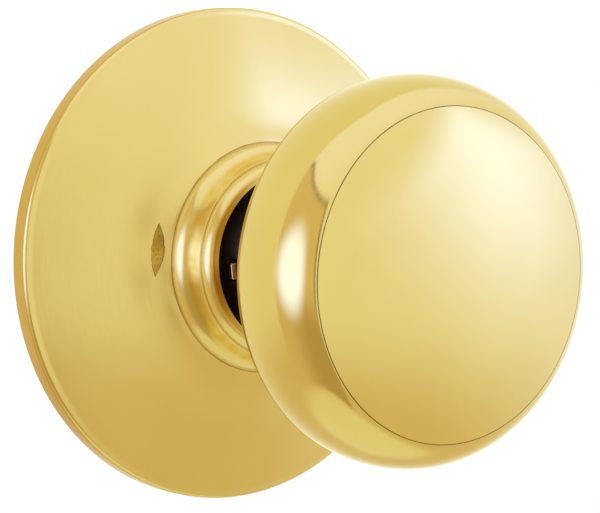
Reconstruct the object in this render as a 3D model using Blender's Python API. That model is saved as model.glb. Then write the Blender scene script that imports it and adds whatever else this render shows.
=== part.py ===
"""Inside half of a passage door knob set, in polished brass.

The knob's axis is the Y axis. The door's face is the plane y = 0, the room is on its -Y side and the
door's cross bore is on its +Y side. Outlines are written in millimetres as (radius, front) pairs, where
front is the distance in front of the door's face, so a point at front = 10 lies at y = -0.010.
"""
import math

import bmesh
import bpy
from mathutils import Matrix, Vector

MM = 0.001
GAP = 0.3  # clearance between pieces that touch on the real lock

# Rose: a drawn brass dish with a turned collar
ROSE_RADIUS = 36.25
ROSE_SHEET = 0.6
RIM_FRONT = 2.9
RIM_ROUND = 0.8
RIM_TURN = 66
FACE_MIDDLE = 26.0
FACE_CROWN = 0.15
CREASE = (16.76, 11.06)
BEAD_END = (15.76, 12.88)
COVE_END = (14.33, 14.69)
ROLL_END = (13.7, 16.15)
LIP = (12.75, 16.65)
BEAD_ANGLES = (82, 36)  # directions of the surface's normal, in degrees away from straight forward
COVE_ANGLES = (36, 66)
ROLL_ANGLES = (90, 43)
SLOT_RADIUS = 18.6
SLOT_HALF_LENGTH = 3.87
SLOT_HALF_WIDTH = 0.85
SLOT_TILT = math.radians(5.5)

# The latch behind the rose's slot, its leaf spring and the spring's rivet
LATCH_RADII = (17.4, 19.9)
LATCH_REAR = 6.5
LATCH_HALF_LENGTH = 3.4
NOSE_HALF_LENGTH = 3.37
NOSE_HALF_WIDTH = 0.52
NOSE_REAR = 7.5
LEAF_BENDS = [(28.5, 2.05), (23.2, 2.05), (20.8, 5.2), (17.6, 5.85)]
LEAF_SHEET = 0.4
LEAF_HALF_WIDTH = 4.0
LEAF_HOLE = 1.3
LEAF_RIVET_RADIUS = 26.0
LEAF_RIVET = [(0.0, 3.5), (1.2, 3.5), (2.0, 3.15), (2.0, 2.75), (1.0, 2.75), (1.0, 0.1), (0.0, 0.1)]

# Knob: a drawn back shell and a domed front cap
KNOB_RADIUS = 27.0
KNOB_SHEET = 0.8
EQUATOR_FRONT = 44.95
CAP_RADIUS = 22.75
CAP_EDGE_FRONT = 53.59
NOSE_FRONT = 58.58
BACK_RADIUS = 15.34
BACK_FRONT = 28.4
NECK_RADIUS = 11.8
NECK_FRONT = 20.6
NECK_FILLET = 1.5
CONE_START = (17.03, 29.4)
HEEL_START = (25.9, 39.97)
HEEL_END = (26.7, 41.67)
BACK_ANGLES = (180, 130)
HEEL_ANGLES = (130, 100.5)
BAND_ANGLES = (100.5, 90)
SHOULDER_HANDLES = (4.8, 2.1)
CAP_RIM_DEPTH = 2.6
HUB_FLANGE = 14.2
HUB_FRONTS = (20.9, 29.7, 37.5)

# Spindle sleeve and what turns with it
SLEEVE_RADIUS = 9.5
SLEEVE_BORE = 8.3
SLEEVE_REAR = -12.6
SLEEVE_FRONT = 37.0
GROOVE = (9.7, 11.1)
GROOVE_RADIUS = 9.0
WINDOW_SIZE = 3.2
CATCH_TILT = math.radians(-7.0)
CATCH_FRONTS = (16.0, 25.0)
CATCH_ENDS = (13.2, 28.0)
CATCH_RADII = (6.4, 7.4)
CATCH_WIDTH = 2.3
CATCH_REACH = 10.55
CATCH_NOSE_HALF = 1.0
COIL_FRONT = 20.5
COIL_RADIUS = 1.6
COIL_WIRE = 0.25
COIL_TURNS = 5
COIL_END = 7.5
BAR_SIZE = 7.9
BAR_REAR = -45.0
BAR_FRONT = 6.0
BAR_BEVEL = 0.5
PLUG_FRONT = 9.5
PIN_RADIUS = 1.25
PIN_FRONT = -6.0
PIN_REACH = 7.7
RING_OUTER = 12.1
WASHER_FRONTS = (8.9, 9.6)
RETAINER_FRONTS = (10.0, 10.8)
RETAINER_HALF_GAP = 4.0
DRIVER_REAR = -12.3
DRIVER_FRONT = -2.9
DRIVER_RADIUS = 11.6
FINGER_RADII = (10.6, 14.1, 15.6)
FINGER_FRONT = -3.3
FINGER_SHEET = 0.9

# Mounting plate, bush and spring housing
PLATE_RADIUS = 34.4
PLATE_SHEET = 1.5
PLATE_BORE = 12.4
PLATE_RELIEF = 0.1
BEARING_RADIUS = 26.5  # the plate bears on the door outside this radius
PLATE_RIM = (1.1, 2.2)
BUSH_FRONTS = (-2.5, 1.8, 2.8, 8.6)
BUSH_FLANGE = 15.0
HOUSING_RADIUS = 19.6
HOUSING_FLANGE = 25.5
HOUSING_SHEET = 0.9
FLANGE_SHEET = 1.0
HOUSING_REAR = -14.0
STOP_TAB_LOW = 16.0
STOP_TAB_FRONTS = (-3.5, -11.5)
HOUSING_CAP_BORE = 10.2
SCREW_OFFSET = 22.25
SCREW_RADIUS = 2.05
SCREW_REAR = -32.0
SCREW_POINT = (1.5, 0.6)
SCREW_HEAD = [(0.0, 4.4), (2.2, 4.25), (3.4, 3.6), (3.9, 2.6), (3.9, 1.8), (SCREW_RADIUS, 1.8)]
RECESS_HALF_LENGTH = 2.3
RECESS_HALF_WIDTH = 0.5
RECESS_FLOOR = 2.8
RIVET_OFFSET = 22.5
RIVET_TILT = math.radians(30.0)
RIVET_SHANK = 1.5
RIVET = [(0.0, 2.9), (RIVET_SHANK, 2.9), (2.6, 2.1), (2.6, 1.8), (RIVET_SHANK, 1.8), (RIVET_SHANK, -1.6),
         (2.4, -1.6), (2.1, -2.5), (0.0, -2.5)]
SPRING_RADIUS = 12.8
SPRING_WIRE = 0.75
SPRING_FRONTS = (-4.0, -10.3)
SPRING_TURNS = 4
LEG_ANGLE = math.radians(11.0)
LEG_REACH = 17.9
LUG_HALF_WIDTH = 1.5

ROSE_SEGMENTS = 48
KNOB_SEGMENTS = 44
SMALL_SEGMENTS = 28
ROD_TWIST = math.radians(5.0)  # keeps a hole's corners off the edges of the turned piece it goes through

COLOURS = {
    "polished_brass": ((0.80, 0.62, 0.22), 0.12, 1.0),
    "rolled_brass": ((0.62, 0.44, 0.16), 0.35, 1.0),
    "dark_steel": ((0.05, 0.04, 0.05), 0.4, 1.0),
    "zinc_plated_steel": ((0.62, 0.63, 0.62), 0.35, 1.0),
    "spring_steel": ((0.30, 0.30, 0.31), 0.3, 1.0),
    "cast_zinc": ((0.45, 0.45, 0.46), 0.55, 1.0),
    "sintered_bronze": ((0.42, 0.27, 0.14), 0.55, 1.0),
}


def material(name):
    found = bpy.data.materials.get(name)
    if found:
        return found
    colour, roughness, metallic = COLOURS[name]
    made = bpy.data.materials.new(name)
    made.use_nodes = True
    shader = made.node_tree.nodes["Principled BSDF"]
    shader.inputs["Base Color"].default_value = (*colour, 1.0)
    shader.inputs["Roughness"].default_value = roughness
    shader.inputs["Metallic"].default_value = metallic
    return made


def finish(name, bm, material_name, parent=None):
    """Turn a bmesh in millimetres into a smooth-shaded object in metres."""
    bmesh.ops.recalc_face_normals(bm, faces=bm.faces)
    bmesh.ops.scale(bm, vec=Vector((MM, MM, MM)), verts=bm.verts)
    mesh = bpy.data.meshes.new(name)
    bm.to_mesh(mesh)
    bm.free()
    mesh.shade_smooth()
    mesh.set_sharp_from_angle(angle=math.radians(35))
    made = bpy.data.objects.new(name, mesh)
    bpy.context.collection.objects.link(made)
    made.data.materials.append(material(material_name))
    made.parent = parent
    return made


def helper(made):
    """Mark an object as a cutter or an added lump, which is not a piece of its own."""
    made.hide_render = True
    made.display_type = "WIRE"
    return made


def combine(target, other, operation="DIFFERENCE"):
    step = target.modifiers.new(other.name, "BOOLEAN")
    step.operation = operation
    step.solver = "EXACT"
    step.object = helper(other)


def pivot(name, angle=0.0):
    """An empty on the knob's axis, turned about it from the -X side by angle, upwards."""
    empty = bpy.data.objects.new(name, None)
    empty.rotation_euler = (0.0, angle, 0.0)
    bpy.context.collection.objects.link(empty)
    return empty


def turned_bmesh(outline, segments):
    """Spin an outline of (radius, front) points about the Y axis."""
    bm = bmesh.new()
    points = [bm.verts.new((radius, -front, 0.0)) for radius, front in outline]
    on_axis = outline[0][0] == 0.0
    pairs = zip(points, points[1:] if on_axis else points[1:] + points[:1])
    edges = [bm.edges.new(pair) for pair in pairs]
    bmesh.ops.spin(bm, geom=points + edges, axis=(0, 1, 0), cent=(0, 0, 0), steps=segments,
                   angle=math.tau, use_merge=True)
    bmesh.ops.remove_doubles(bm, verts=bm.verts, dist=1e-4)
    return bm


def turned(name, outline, material_name, segments=SMALL_SEGMENTS, parent=None):
    return finish(name, turned_bmesh(outline, segments), material_name, parent)


def extruded(name, outline, depth, direction, material_name, parent=None):
    """Extrude a closed outline of points by depth along direction."""
    bm = bmesh.new()
    face = bm.faces.new([bm.verts.new(point) for point in outline])
    grown = bmesh.ops.extrude_face_region(bm, geom=[face])
    verts = [item for item in grown["geom"] if isinstance(item, bmesh.types.BMVert)]
    bmesh.ops.translate(bm, verts=verts, vec=Vector(direction) * depth)
    return finish(name, bm, material_name, parent)


def block(name, low, high, material_name="cast_zinc", parent=None):
    """A box between two corners in world axes, millimetres."""
    bm = bmesh.new()
    bmesh.ops.create_cube(bm, size=1.0)
    low, high = Vector(low), Vector(high)
    size = high - low
    bmesh.ops.scale(bm, vec=size, verts=bm.verts)
    bmesh.ops.translate(bm, verts=bm.verts, vec=(low + high) / 2)
    return finish(name, bm, material_name, parent)


def rod(name, radius, start, end, segments=16, material_name="cast_zinc", parent=None):
    """A round bar between two points, millimetres."""
    start, end = Vector(start), Vector(end)
    bm = bmesh.new()
    bmesh.ops.create_cone(bm, cap_ends=True, segments=segments, radius1=radius, radius2=radius,
                          depth=(end - start).length)
    turn = (end - start).to_track_quat("Z", "Y").to_matrix().to_4x4()
    place = Matrix.Translation((start + end) / 2) @ turn @ Matrix.Rotation(ROD_TWIST, 4, "Z")
    bmesh.ops.transform(bm, matrix=place, verts=bm.verts)
    return finish(name, bm, material_name, parent)


def wire(name, points, radius, material_name, parent=None):
    """A round wire along points in millimetres."""
    curve = bpy.data.curves.new(name, "CURVE")
    curve.dimensions = "3D"
    curve.bevel_depth = radius * MM
    curve.bevel_resolution = 1
    curve.use_fill_caps = True
    spline = curve.splines.new("POLY")
    spline.points.add(len(points) - 1)
    for knot, point in zip(spline.points, points):
        knot.co = (*(Vector(point) * MM), 1.0)
    made = bpy.data.objects.new(name, curve)
    bpy.context.collection.objects.link(made)
    curve.materials.append(material(material_name))
    made.parent = parent
    return made


def arc(centre, radius, start, end, steps):
    """Points of an arc from start to end, in degrees counted from the radius axis."""
    angles = [math.radians(start + (end - start) * i / steps) for i in range(steps + 1)]
    return [(centre[0] + radius * math.cos(a), centre[1] + radius * math.sin(a)) for a in angles]


def bezier(start, start_handle, end_handle, end, steps):
    """Points of a cubic curve, without its first point."""
    points = []
    for i in range(1, steps + 1):
        t = i / steps
        weights = ((1 - t) ** 3, 3 * t * (1 - t) ** 2, 3 * t * t * (1 - t), t ** 3)
        knots = (start, start_handle, end_handle, end)
        points.append(tuple(sum(w * k[axis] for w, k in zip(weights, knots)) for axis in (0, 1)))
    return points


def sweep(start, end, angles, steps):
    """A smooth stretch of outline whose normal turns between two angles, without its first point."""
    reach = math.dist(start, end) / 3
    leave, arrive = ((-math.cos(math.radians(a)) * reach, math.sin(math.radians(a)) * reach) for a in angles)
    start_handle = (start[0] + leave[0], start[1] + leave[1])
    end_handle = (end[0] - arrive[0], end[1] - arrive[1])
    return bezier(start, start_handle, end_handle, end, steps)


def offset(points, distance):
    """The outline moved sideways by distance, to the left of its direction."""
    moved = []
    for i, point in enumerate(points):
        here = Vector(point)
        before = (here - Vector(points[i - 1])).normalized() if i else None
        after = (Vector(points[i + 1]) - here).normalized() if i + 1 < len(points) else None
        before, after = before or after, after or before
        along = (before + after).normalized()
        stretch = 1.0 / max(along.dot(before), 0.5)
        moved.append((here.x - along.y * distance * stretch, here.y + along.x * distance * stretch))
    return moved


def lens(half_length, half_width, steps=6):
    """Points (across, along) of a slim pointed oval."""
    side = [(half_width * (1 - (2 * i / steps - 1) ** 2), half_length * (2 * i / steps - 1))
            for i in range(steps)]
    return side + [(-across, -along) for across, along in side]


def face_front(radius):
    """Front of the rose's conical face at a radius."""
    slope = (CREASE[1] - RIM_FRONT) / (ROSE_RADIUS - RIM_ROUND - CREASE[0])
    return CREASE[1] - (radius - CREASE[0]) * slope


def lens_prism(name, half_length, half_width, low, high, parent):
    """A slim pointed oval standing at the slot's radius on the -X side, from front = low to front = high."""
    outline = [(-SLOT_RADIUS + across, -low, along) for across, along in lens(half_length, half_width)]
    return extruded(name, outline, high - low, (0, -1, 0), "rolled_brass", parent)


def rose_outline():
    """The rose's outer skin, from its rim on the door to the collar's lip."""
    rim = [(ROSE_RADIUS, 0.0)]
    rim += arc((ROSE_RADIUS - RIM_ROUND, RIM_FRONT - RIM_ROUND), RIM_ROUND, 0, RIM_TURN, 3)
    face = [(FACE_MIDDLE, face_front(FACE_MIDDLE) + FACE_CROWN), CREASE]
    bead = sweep(CREASE, BEAD_END, BEAD_ANGLES, 3)
    cove = sweep(BEAD_END, COVE_END, COVE_ANGLES, 2)
    roll = sweep(COVE_END, ROLL_END, ROLL_ANGLES, 2)
    return rim + face + bead + cove + roll + [LIP]


def make_rose(parent):
    skin = rose_outline()
    made = turned("rose", skin + offset(skin, ROSE_SHEET)[::-1], "polished_brass", ROSE_SEGMENTS, parent)
    side = pivot("rose_slot_side", SLOT_TILT)
    middle = face_front(SLOT_RADIUS)
    combine(made, lens_prism("rose_slot", SLOT_HALF_LENGTH, SLOT_HALF_WIDTH, middle - 3, middle + 3, side))


def make_rose_catch(parent):
    """The latch that holds the rose, its leaf spring and the spring's rivet, on the slot's side."""
    side = pivot("rose_catch_side", SLOT_TILT)
    side.parent = parent
    behind = ROSE_SHEET + 2 * GAP
    near, far = LATCH_RADII
    outline = [(near, LATCH_REAR), (far, LATCH_REAR), (far, face_front(far) - behind),
               (near, face_front(near) - behind)]
    catch = extruded("rose_catch", [(-r, -f, -LATCH_HALF_LENGTH) for r, f in outline], 2 * LATCH_HALF_LENGTH,
                     (0, 0, 1), "rolled_brass", side)
    nose = lens_prism("rose_catch_nose", NOSE_HALF_LENGTH, NOSE_HALF_WIDTH, NOSE_REAR,
                      face_front(SLOT_RADIUS) - GAP, side)
    combine(catch, nose, "UNION")
    leaf = LEAF_BENDS + offset(LEAF_BENDS, -LEAF_SHEET)[::-1]
    spring = extruded("rose_catch_spring", [(-r, -f, -LEAF_HALF_WIDTH) for r, f in leaf], 2 * LEAF_HALF_WIDTH,
                      (0, 0, 1), "spring_steel", side)
    combine(spring, leaf_rivet_hole("leaf_hole", side))
    made = turned("catch_spring_rivet", LEAF_RIVET, "zinc_plated_steel", 16, side)
    made.location = (-LEAF_RIVET_RADIUS * MM, 0, 0)


def leaf_rivet_hole(name, side):
    return rod(name, LEAF_HOLE, (-LEAF_RIVET_RADIUS, 3, 0), (-LEAF_RIVET_RADIUS, -5, 0), parent=side)


def make_plate(parent):
    """The plate that bears on the door with its outer part, which stands a little behind the rest."""
    rim_width, rim_front = PLATE_RIM
    outline = [(PLATE_BORE, PLATE_RELIEF), (BEARING_RADIUS, PLATE_RELIEF), (BEARING_RADIUS, 0.0),
               (PLATE_RADIUS, 0.0), (PLATE_RADIUS, rim_front), (PLATE_RADIUS - rim_width, rim_front),
               (PLATE_RADIUS - rim_width, PLATE_SHEET), (PLATE_BORE, PLATE_SHEET)]
    made = turned("mounting_plate", outline, "zinc_plated_steel", ROSE_SEGMENTS, parent)
    for cutter in screw_holes("plate_screw_hole") + rivet_holes("plate_rivet_hole"):
        combine(made, cutter)
    combine(made, leaf_rivet_hole("plate_leaf_hole", pivot("leaf_rivet_side", SLOT_TILT)))


def screw_holes(name):
    radius = SCREW_RADIUS + GAP
    return [rod(f"{name}_{i}", radius, (0, 20, z), (0, -8, z))
            for i, z in enumerate((SCREW_OFFSET, -SCREW_OFFSET))]


def rivet_places():
    x, z = RIVET_OFFSET * math.cos(RIVET_TILT), RIVET_OFFSET * math.sin(RIVET_TILT)
    return [(x, z), (-x, -z)]


def rivet_holes(name):
    radius = RIVET_SHANK + GAP
    return [rod(f"{name}_{i}", radius, (x, 5, z), (x, -5, z)) for i, (x, z) in enumerate(rivet_places())]


def make_bush(parent):
    inner, outer = SLEEVE_RADIUS + GAP, RING_OUTER
    rear, flange_rear, flange_front, front = BUSH_FRONTS
    outline = [(inner, rear), (outer, rear), (outer, flange_rear), (BUSH_FLANGE, flange_rear),
               (BUSH_FLANGE, flange_front), (outer, flange_front), (outer, front), (inner, front)]
    turned("bearing_bush", outline, "sintered_bronze", SMALL_SEGMENTS, parent)


def make_housing(parent):
    """The spring's cup behind the plate, with the tab that both spring legs rest on, and its cap."""
    inside = HOUSING_RADIUS - HOUSING_SHEET
    flange_rear = -GAP - FLANGE_SHEET
    outline = [(inside, -GAP), (HOUSING_FLANGE, -GAP), (HOUSING_FLANGE, flange_rear),
               (HOUSING_RADIUS, flange_rear), (HOUSING_RADIUS, HOUSING_REAR), (inside, HOUSING_REAR)]
    made = turned("spring_housing", outline, "zinc_plated_steel", SMALL_SEGMENTS, parent)
    front, rear = STOP_TAB_FRONTS
    tab = block("housing_stop_tab", (-LUG_HALF_WIDTH, -front, STOP_TAB_LOW),
                (LUG_HALF_WIDTH, -rear, inside + HOUSING_SHEET / 2))
    combine(made, tab, "UNION")
    for cutter in screw_holes("housing_screw_hole") + rivet_holes("housing_rivet_hole"):
        combine(made, cutter)
    front, outer = HOUSING_REAR + FLANGE_SHEET, inside - GAP
    cap = [(HOUSING_CAP_BORE, front), (outer, front), (outer, HOUSING_REAR), (HOUSING_CAP_BORE, HOUSING_REAR)]
    turned("housing_cap", cap, "zinc_plated_steel", SMALL_SEGMENTS, parent)


def make_return_spring(parent):
    """A torsion coil round the sleeve whose two legs straddle the driver's finger at the top."""
    start = math.pi / 2 + LEG_ANGLE
    sweep_angle = math.tau * SPRING_TURNS - 2 * LEG_ANGLE
    steps = SPRING_TURNS * 16
    front, rear = SPRING_FRONTS

    def at(radius, angle, depth):
        return (radius * math.cos(angle), -depth, radius * math.sin(angle))

    coil = []
    for i in range(steps + 1):
        share = i / steps
        coil.append(at(SPRING_RADIUS, start + sweep_angle * share, front + (rear - front) * share))
    points = [at(LEG_REACH, start, front)] + coil + [at(LEG_REACH, start + sweep_angle, rear)]
    wire("return_spring", points, SPRING_WIRE, "spring_steel", parent)


def make_plate_fasteners(parent):
    """Two rivets that hold the housing, and the two machine screws with their cross recesses."""
    for name, (x, z) in zip(("housing_rivet_right", "housing_rivet_left"), rivet_places()):
        made = turned(name, RIVET, "zinc_plated_steel", 16, parent)
        made.location = (x * MM, 0, z * MM)
    point_radius, point_length = SCREW_POINT
    screw = SCREW_HEAD + [(SCREW_RADIUS, SCREW_REAR + point_length), (point_radius, SCREW_REAR),
                          (0.0, SCREW_REAR)]
    reach, half = RECESS_HALF_LENGTH, RECESS_HALF_WIDTH
    for name, z in (("mounting_screw_upper", SCREW_OFFSET), ("mounting_screw_lower", -SCREW_OFFSET)):
        made = turned(name, screw, "zinc_plated_steel", 20, parent)
        made.location = (0, 0, z * MM)
        for arm, (x, dz) in (("across", (reach, half)), ("upright", (half, reach))):
            combine(made, block(f"{name}_{arm}", (-x, -5.0, z - dz), (x, -RECESS_FLOOR, z + dz)))


def make_sleeve(parent):
    outline = [(SLEEVE_RADIUS, SLEEVE_REAR), (SLEEVE_RADIUS, GROOVE[0]), (GROOVE_RADIUS, GROOVE[0]),
               (GROOVE_RADIUS, GROOVE[1]), (SLEEVE_RADIUS, GROOVE[1]), (SLEEVE_RADIUS, SLEEVE_FRONT),
               (SLEEVE_BORE, SLEEVE_FRONT), (SLEEVE_BORE, SLEEVE_REAR)]
    made = turned("spindle_sleeve", outline, "dark_steel", SMALL_SEGMENTS, parent)
    for front in CATCH_FRONTS:
        combine(made, window(f"sleeve_window_{front:.0f}", front))


def window(name, front):
    """A cutter for the opening that one nose of the knob catch goes through."""
    half = WINDOW_SIZE / 2
    side = pivot(name + "_side", CATCH_TILT)
    return block(name, (-12.0, -front - half, -half), (-7.0, -front + half, half), parent=side)


def make_knob_catch(parent):
    """The leaf inside the sleeve: its rear nose is the release tab and its front nose holds the knob."""
    side = pivot("knob_catch_side", CATCH_TILT)
    side.parent = parent
    inner, outer = CATCH_RADII
    rear, front = CATCH_ENDS
    outline = [(inner, rear), (outer, rear)]
    for middle in CATCH_FRONTS:
        low, high = middle - CATCH_NOSE_HALF, middle + CATCH_NOSE_HALF
        outline += [(outer, low), (CATCH_REACH, low), (CATCH_REACH, high), (outer, high)]
    outline += [(outer, front), (inner, front)]
    half = CATCH_WIDTH / 2
    extruded("knob_catch", [(-r, -f, -half) for r, f in outline], CATCH_WIDTH, (0, 0, 1), "rolled_brass",
             side)
    start = -(inner - GAP - COIL_WIRE)
    steps = COIL_TURNS * 10
    points = []
    for i in range(steps + 1):
        share = i / steps
        angle = math.tau * COIL_TURNS * share
        points.append((start + (COIL_END - start) * share, -COIL_FRONT + COIL_RADIUS * math.cos(angle),
                       COIL_RADIUS * math.sin(angle)))
    wire("knob_catch_spring", points, COIL_WIRE, "spring_steel", side)


def make_driver(parent):
    """The ring on the sleeve's rear end whose finger winds the return spring."""
    inner, outer, rear, front = SLEEVE_RADIUS + GAP, DRIVER_RADIUS, DRIVER_REAR, DRIVER_FRONT
    made = turned("spring_driver", [(inner, rear), (outer, rear), (outer, front), (inner, front)],
                  "cast_zinc", SMALL_SEGMENTS, parent)
    root, low, top = FINGER_RADII
    step = rear + FINGER_SHEET
    arm = [(root, rear), (top, rear), (top, FINGER_FRONT), (low, FINGER_FRONT), (low, step), (root, step)]
    finger = extruded("driver_finger", [(-LUG_HALF_WIDTH, -f, r) for r, f in arm], 2 * LUG_HALF_WIDTH,
                      (1, 0, 0), "cast_zinc", parent)
    combine(made, finger, "UNION")


def make_spindle(parent):
    """The plug in the sleeve, the square drive bar and the cross pin that holds them together."""
    front, rear, radius = PLUG_FRONT, DRIVER_REAR, SLEEVE_BORE - GAP
    made = turned("spindle_plug", [(0.0, front), (radius, front), (radius, rear), (0.0, rear)], "cast_zinc",
                  SMALL_SEGMENTS, parent)
    half = BAR_SIZE / 2
    hole = half + GAP
    combine(made, block("plug_square_hole", (-hole, -front - 1, -hole), (hole, -rear + 1, hole)))
    combine(made, pin_rod("plug_pin_hole", PIN_RADIUS + GAP, SLEEVE_RADIUS))
    bar = block("drive_bar", (-half, -BAR_FRONT, -half), (half, -BAR_REAR, half), "zinc_plated_steel", parent)
    bevel = bar.modifiers.new("edges", "BEVEL")
    bevel.width = BAR_BEVEL * MM
    bevel.segments = 1
    combine(bar, pin_rod("bar_pin_hole", PIN_RADIUS + GAP, SLEEVE_RADIUS))
    pin_rod("drive_bar_pin", PIN_RADIUS, PIN_REACH, 12, "spring_steel", parent)


def pin_rod(name, radius, reach, segments=16, material_name="cast_zinc", parent=None):
    """A round bar across the drive bar, where its pin goes."""
    return rod(name, radius, (0, -PIN_FRONT, -reach), (0, -PIN_FRONT, reach), segments, material_name, parent)


def make_rings(parent):
    """The thrust washer against the bush, and the split ring in the sleeve's groove."""
    inner, outer = SLEEVE_RADIUS + GAP, RING_OUTER
    rear, front = WASHER_FRONTS
    turned("thrust_washer", [(inner, rear), (outer, rear), (outer, front), (inner, front)], "sintered_bronze",
           SMALL_SEGMENTS, parent)
    inner = GROOVE_RADIUS + GAP
    rear, front = RETAINER_FRONTS
    ring = turned("retaining_ring", [(inner, rear), (outer, rear), (outer, front), (inner, front)],
                  "spring_steel", SMALL_SEGMENTS, parent)
    gap = RETAINER_HALF_GAP
    combine(ring, block("ring_gap", (-gap, -front - 1, -outer - 1), (gap, -rear + 1, 0.0)))


def make_knob(parent):
    neck = [(NECK_RADIUS, NECK_FRONT)]
    neck += [(NECK_RADIUS + NECK_FILLET - a, b)
             for a, b in arc((0.0, BACK_FRONT - NECK_FILLET), NECK_FILLET, 0, 90, 2)]
    back_end = (BACK_RADIUS, BACK_FRONT)
    equator = (KNOB_RADIUS, EQUATOR_FRONT)
    back = [back_end] + sweep(back_end, CONE_START, BACK_ANGLES, 2) + [HEEL_START]
    back += sweep(HEEL_START, HEEL_END, HEEL_ANGLES, 3) + sweep(HEEL_END, equator, BAND_ANGLES, 1)
    sag = NOSE_FRONT - CAP_EDGE_FRONT
    dome_radius = (CAP_RADIUS ** 2 + sag ** 2) / (2 * sag)
    slope = math.asin(CAP_RADIUS / dome_radius)
    cap_edge = (CAP_RADIUS, CAP_EDGE_FRONT)
    rise, reach = SHOULDER_HANDLES
    handle = (CAP_RADIUS + reach * math.cos(slope), CAP_EDGE_FRONT - reach * math.sin(slope))
    shoulder = bezier(equator, (KNOB_RADIUS, EQUATOR_FRONT + rise), handle, cap_edge, 4)
    skin = neck + back + shoulder
    turned("knob_back_shell", skin + offset(skin, KNOB_SHEET)[::-1], "polished_brass", KNOB_SEGMENTS, parent)

    reach = slope * (CAP_RADIUS - GAP) / CAP_RADIUS
    steps = 5
    centre = NOSE_FRONT - dome_radius
    dome = [(dome_radius * math.sin(reach * i / steps), centre + dome_radius * math.cos(reach * i / steps))
            for i in range(steps + 1)]
    radius, front = dome[-1]
    turned_back = front - CAP_RIM_DEPTH
    rim = [(radius - 0.35, front - 0.55), (radius - 0.7, turned_back), (radius - 1.4, turned_back)]
    inside = [(r * 0.94, f - KNOB_SHEET) for r, f in dome[::-1]]
    turned("knob_front_cap", dome + rim + inside, "polished_brass", KNOB_SEGMENTS, parent)


def make_hub(parent):
    """The casting inside the knob's neck that slides onto the sleeve."""
    inner, neck = SLEEVE_RADIUS + GAP, NECK_RADIUS - KNOB_SHEET - GAP
    rear, step, front = HUB_FRONTS
    outline = [(inner, rear), (neck, rear), (neck, step), (HUB_FLANGE, step), (HUB_FLANGE, front),
               (inner, front)]
    made = turned("knob_hub", outline, "cast_zinc", SMALL_SEGMENTS, parent)
    combine(made, window("hub_window", CATCH_FRONTS[1]))


def main():
    for item in list(bpy.data.objects):
        bpy.data.objects.remove(item)
    fixed = pivot("fixed_half")
    knob = pivot("knob_axis")
    make_rose(fixed)
    make_rose_catch(fixed)
    make_plate(fixed)
    make_bush(fixed)
    make_housing(fixed)
    make_return_spring(fixed)
    make_plate_fasteners(fixed)
    make_sleeve(knob)
    make_knob_catch(knob)
    make_driver(knob)
    make_spindle(knob)
    make_rings(knob)
    make_knob(knob)
    make_hub(knob)


main()
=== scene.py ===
"""Looks of a polished brass door knob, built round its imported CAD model.

Outlines are in millimetres as (radius, front) pairs. The knob's axis is the Y axis, and front is the
distance in front of the door's face, so a point at front = 10 lies at y = -0.010.
"""
import math
import random

import bmesh
import bpy
from mathutils import Matrix, Vector


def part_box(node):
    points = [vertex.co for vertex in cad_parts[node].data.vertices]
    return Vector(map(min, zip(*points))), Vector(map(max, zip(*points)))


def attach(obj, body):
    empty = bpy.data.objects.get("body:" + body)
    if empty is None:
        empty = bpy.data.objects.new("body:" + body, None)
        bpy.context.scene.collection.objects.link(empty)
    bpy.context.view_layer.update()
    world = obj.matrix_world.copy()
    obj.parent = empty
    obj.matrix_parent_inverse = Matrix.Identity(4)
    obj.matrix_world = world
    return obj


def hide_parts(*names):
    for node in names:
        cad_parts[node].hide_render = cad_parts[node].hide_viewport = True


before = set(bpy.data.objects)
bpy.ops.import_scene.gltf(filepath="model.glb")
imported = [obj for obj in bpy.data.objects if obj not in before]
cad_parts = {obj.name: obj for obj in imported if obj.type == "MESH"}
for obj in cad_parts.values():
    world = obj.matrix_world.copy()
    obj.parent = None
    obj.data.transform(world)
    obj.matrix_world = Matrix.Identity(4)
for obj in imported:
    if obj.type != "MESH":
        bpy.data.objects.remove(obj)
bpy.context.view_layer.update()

MM = 0.001
FINE = 256
MEDIUM = 128


def low(node, axis):
    """The node's lowest coordinate in millimetres."""
    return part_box(node)[0][axis] / MM


def high(node, axis):
    """The node's highest coordinate in millimetres."""
    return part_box(node)[1][axis] / MM


# Sizes that the frame gives
ROSE_RADIUS = high("rose", 0)
LIP_FRONT = -low("rose", 1)
KNOB_RADIUS = high("knob_back_shell", 0)
NECK_FRONT = -high("knob_back_shell", 1)
NOSE_FRONT = -low("knob_front_cap", 1)
SLEEVE_RADIUS = high("spindle_sleeve", 0)
SLEEVE_REAR = -high("spindle_sleeve", 1)
SLEEVE_FRONT = -low("spindle_sleeve", 1)
PLATE_RADIUS = high("mounting_plate", 0)
HOUSING_FLANGE = high("spring_housing", 0)
HOUSING_REAR = -high("spring_housing", 1)
SCREW_OFFSET = (low("mounting_screw_upper", 2) + high("mounting_screw_upper", 2)) / 2
SCREW_REAR = -high("mounting_screw_upper", 1)
SCREW_FRONT = -low("mounting_screw_upper", 1)

# Rose: outline points, and directions of the surface's normal in degrees away from straight forward
ROSE_SHEET = 0.6
RIM_FRONT = 2.9
RIM_ROUND = 0.8
RIM_EDGE = 0.1  # width of the outermost ring, which is painted a darker brass as shade along the edge
FACE_CROWN = 0.6
FLARE = 0.2
FLARE_REACH = 3.4
CREASE = (16.76, 11.06)
BEAD_END = (15.76, 12.88)
COVE_END = (14.33, 14.69)
ROLL_END = (13.7, 16.15)
LIP = (12.5, LIP_FRONT)
BEAD_ANGLES = (82, 36)
COVE_ANGLES = (36, 66)
ROLL_ANGLES = (90, 43)
LIP_ANGLES = (43, 22)

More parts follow.
